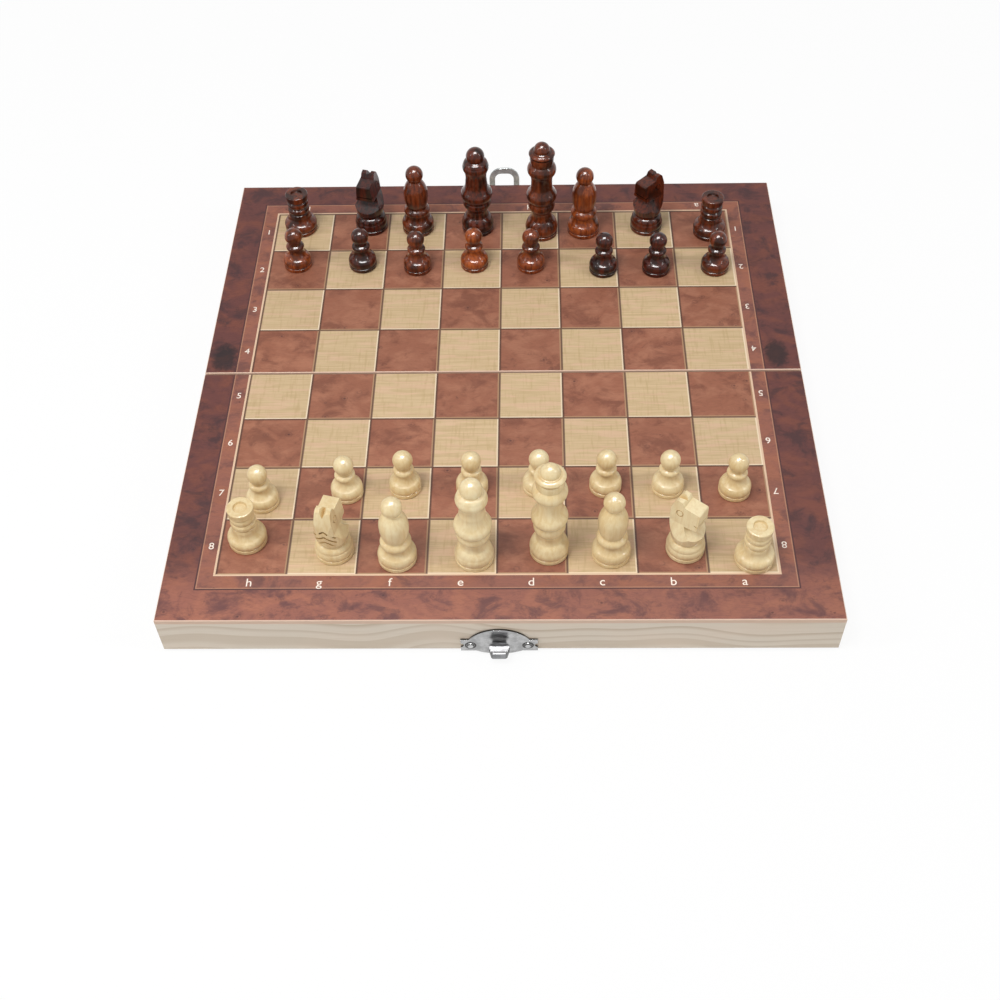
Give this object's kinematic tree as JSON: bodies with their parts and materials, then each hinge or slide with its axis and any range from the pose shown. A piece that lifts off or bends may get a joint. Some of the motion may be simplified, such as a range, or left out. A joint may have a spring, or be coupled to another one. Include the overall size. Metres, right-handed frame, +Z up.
{
  "type": "folding chess set",
  "caption": "Folding wooden chess set: two hinged shallow trays that open flat as a playing board, a loop clasp, and turned chess pieces standing on it.",
  "frame": {"origin": "on the table under the middle of the opened board, at the foot of the hinge barrels", "axes": "+Z up; +X along the ranks from file h to file a; +Y from the light pieces' edge to the dark pieces' edge; the fold line lies along X at Y = 0"},
  "size_m": [0.29, 0.3049, 0.08],
  "materials": {
    "printed_board": "thin wood board printed with red burl and pale maple squares, satin",
    "pine": "pale sanded pine, satin lacquer",
    "hinge_steel": "plated steel",
    "screw_steel": "plated steel",
    "clasp_nickel": "bright nickel plate",
    "light_wood": "turned pale wood, clear lacquer",
    "dark_wood": "turned wood stained red-brown, gloss lacquer"
  },
  "bodies": {
    "front_half": {"front_panel": "printed_board", "front_outer_rail": "pine", "front_hinge_rail": "pine", "front_left_rail": "pine", "front_right_rail": "pine", "left_hinge_front_leaf": "hinge_steel", "right_hinge_front_leaf": "hinge_steel", "front_hinge_screws": "screw_steel", "left_hinge_pin": "hinge_steel", "right_hinge_pin": "hinge_steel", "catch_plate": "clasp_nickel", "catch_nose": "clasp_nickel", "catch_screws": "screw_steel"},
    "rear_half": {"rear_panel": "printed_board", "rear_outer_rail": "pine", "rear_hinge_rail": "pine", "rear_left_rail": "pine", "rear_right_rail": "pine", "left_hinge_rear_leaf": "hinge_steel", "right_hinge_rear_leaf": "hinge_steel", "rear_hinge_screws": "screw_steel", "hasp_plate": "clasp_nickel", "hasp_pin": "clasp_nickel", "hasp_screws": "screw_steel"},
    "clasp_loop": {"hasp_loop": "clasp_nickel"},
    "light_rook_h": {"light_rook_h": "light_wood"},
    "light_knight_g": {"light_knight_g": "light_wood"},
    "light_bishop_f": {"light_bishop_f": "light_wood"},
    "light_queen": {"light_queen": "light_wood"},
    "light_king": {"light_king": "light_wood"},
    "light_bishop_c": {"light_bishop_c": "light_wood"},
    "light_knight_b": {"light_knight_b": "light_wood"},
    "light_rook_a": {"light_rook_a": "light_wood"},
    "light_pawn_h": {"light_pawn_h": "light_wood"},
    "light_pawn_g": {"light_pawn_g": "light_wood"},
    "light_pawn_f": {"light_pawn_f": "light_wood"},
    "light_pawn_e": {"light_pawn_e": "light_wood"},
    "light_pawn_d": {"light_pawn_d": "light_wood"},
    "light_pawn_c": {"light_pawn_c": "light_wood"},
    "light_pawn_b": {"light_pawn_b": "light_wood"},
    "light_pawn_a": {"light_pawn_a": "light_wood"},
    "dark_rook_h": {"dark_rook_h": "dark_wood"},
    "dark_knight_g": {"dark_knight_g": "dark_wood"},
    "dark_bishop_f": {"dark_bishop_f": "dark_wood"},
    "dark_queen": {"dark_queen": "dark_wood"},
    "dark_king": {"dark_king": "dark_wood"},
    "dark_bishop_c": {"dark_bishop_c": "dark_wood"},
    "dark_knight_b": {"dark_knight_b": "dark_wood"},
    "dark_rook_a": {"dark_rook_a": "dark_wood"},
    "dark_pawn_h": {"dark_pawn_h": "dark_wood"},
    "dark_pawn_g": {"dark_pawn_g": "dark_wood"},
    "dark_pawn_f": {"dark_pawn_f": "dark_wood"},
    "dark_pawn_e": {"dark_pawn_e": "dark_wood"},
    "dark_pawn_d": {"dark_pawn_d": "dark_wood"},
    "dark_pawn_c": {"dark_pawn_c": "dark_wood"},
    "dark_pawn_b": {"dark_pawn_b": "dark_wood"},
    "dark_pawn_a": {"dark_pawn_a": "dark_wood"}
  },
  "joints": [
    {"name": "board_fold", "type": "hinge", "parent": "front_half", "child": "rear_half", "pos_m": [0, 0, 0.0013], "axis": [-1, 0, 0], "range_deg": [0, 180]},
    {"name": "clasp_loop_swing", "type": "hinge", "parent": "rear_half", "child": "clasp_loop", "pos_m": [0, 0.1482, 0.0104], "axis": [-1, 0, 0], "range_deg": [-20, 169]},
    {"name": "lift_light_rook_h", "type": "slide", "parent": "front_half", "child": "light_rook_h", "axis": [0, 0, 1], "range_m": [0, 0.07]},
    {"name": "lift_light_knight_g", "type": "slide", "parent": "front_half", "child": "light_knight_g", "axis": [0, 0, 1], "range_m": [0, 0.07]},
    {"name": "lift_light_bishop_f", "type": "slide", "parent": "front_half", "child": "light_bishop_f", "axis": [0, 0, 1], "range_m": [0, 0.07]},
    {"name": "lift_light_queen", "type": "slide", "parent": "front_half", "child": "light_queen", "axis": [0, 0, 1], "range_m": [0, 0.07]},
    {"name": "lift_light_king", "type": "slide", "parent": "front_half", "child": "light_king", "axis": [0, 0, 1], "range_m": [0, 0.07]},
    {"name": "lift_light_bishop_c", "type": "slide", "parent": "front_half", "child": "light_bishop_c", "axis": [0, 0, 1], "range_m": [0, 0.07]},
    {"name": "lift_light_knight_b", "type": "slide", "parent": "front_half", "child": "light_knight_b", "axis": [0, 0, 1], "range_m": [0, 0.07]},
    {"name": "lift_light_rook_a", "type": "slide", "parent": "front_half", "child": "light_rook_a", "axis": [0, 0, 1], "range_m": [0, 0.07]},
    {"name": "lift_light_pawn_h", "type": "slide", "parent": "front_half", "child": "light_pawn_h", "axis": [0, 0, 1], "range_m": [0, 0.07]},
    {"name": "lift_light_pawn_g", "type": "slide", "parent": "front_half", "child": "light_pawn_g", "axis": [0, 0, 1], "range_m": [0, 0.07]},
    {"name": "lift_light_pawn_f", "type": "slide", "parent": "front_half", "child": "light_pawn_f", "axis": [0, 0, 1], "range_m": [0, 0.07]},
    {"name": "lift_light_pawn_e", "type": "slide", "parent": "front_half", "child": "light_pawn_e", "axis": [0, 0, 1], "range_m": [0, 0.07]},
    {"name": "lift_light_pawn_d", "type": "slide", "parent": "front_half", "child": "light_pawn_d", "axis": [0, 0, 1], "range_m": [0, 0.07]},
    {"name": "lift_light_pawn_c", "type": "slide", "parent": "front_half", "child": "light_pawn_c", "axis": [0, 0, 1], "range_m": [0, 0.07]},
    {"name": "lift_light_pawn_b", "type": "slide", "parent": "front_half", "child": "light_pawn_b", "axis": [0, 0, 1], "range_m": [0, 0.07]},
    {"name": "lift_light_pawn_a", "type": "slide", "parent": "front_half", "child": "light_pawn_a", "axis": [0, 0, 1], "range_m": [0, 0.07]},
    {"name": "lift_dark_rook_h", "type": "slide", "parent": "rear_half", "child": "dark_rook_h", "axis": [0, 0, 1], "range_m": [0, 0.07]},
    {"name": "lift_dark_knight_g", "type": "slide", "parent": "rear_half", "child": "dark_knight_g", "axis": [0, 0, 1], "range_m": [0, 0.07]},
    {"name": "lift_dark_bishop_f", "type": "slide", "parent": "rear_half", "child": "dark_bishop_f", "axis": [0, 0, 1], "range_m": [0, 0.07]},
    {"name": "lift_dark_queen", "type": "slide", "parent": "rear_half", "child": "dark_queen", "axis": [0, 0, 1], "range_m": [0, 0.07]},
    {"name": "lift_dark_king", "type": "slide", "parent": "rear_half", "child": "dark_king", "axis": [0, 0, 1], "range_m": [0, 0.07]},
    {"name": "lift_dark_bishop_c", "type": "slide", "parent": "rear_half", "child": "dark_bishop_c", "axis": [0, 0, 1], "range_m": [0, 0.07]},
    {"name": "lift_dark_knight_b", "type": "slide", "parent": "rear_half", "child": "dark_knight_b", "axis": [0, 0, 1], "range_m": [0, 0.07]},
    {"name": "lift_dark_rook_a", "type": "slide", "parent": "rear_half", "child": "dark_rook_a", "axis": [0, 0, 1], "range_m": [0, 0.07]},
    {"name": "lift_dark_pawn_h", "type": "slide", "parent": "rear_half", "child": "dark_pawn_h", "axis": [0, 0, 1], "range_m": [0, 0.07]},
    {"name": "lift_dark_pawn_g", "type": "slide", "parent": "rear_half", "child": "dark_pawn_g", "axis": [0, 0, 1], "range_m": [0, 0.07]},
    {"name": "lift_dark_pawn_f", "type": "slide", "parent": "rear_half", "child": "dark_pawn_f", "axis": [0, 0, 1], "range_m": [0, 0.07]},
    {"name": "lift_dark_pawn_e", "type": "slide", "parent": "rear_half", "child": "dark_pawn_e", "axis": [0, 0, 1], "range_m": [0, 0.07]},
    {"name": "lift_dark_pawn_d", "type": "slide", "parent": "rear_half", "child": "dark_pawn_d", "axis": [0, 0, 1], "range_m": [0, 0.07]},
    {"name": "lift_dark_pawn_c", "type": "slide", "parent": "rear_half", "child": "dark_pawn_c", "axis": [0, 0, 1], "range_m": [0, 0.07]},
    {"name": "lift_dark_pawn_b", "type": "slide", "parent": "rear_half", "child": "dark_pawn_b", "axis": [0, 0, 1], "range_m": [0, 0.07]},
    {"name": "lift_dark_pawn_a", "type": "slide", "parent": "rear_half", "child": "dark_pawn_a", "axis": [0, 0, 1], "range_m": [0, 0.07]}
  ]
}
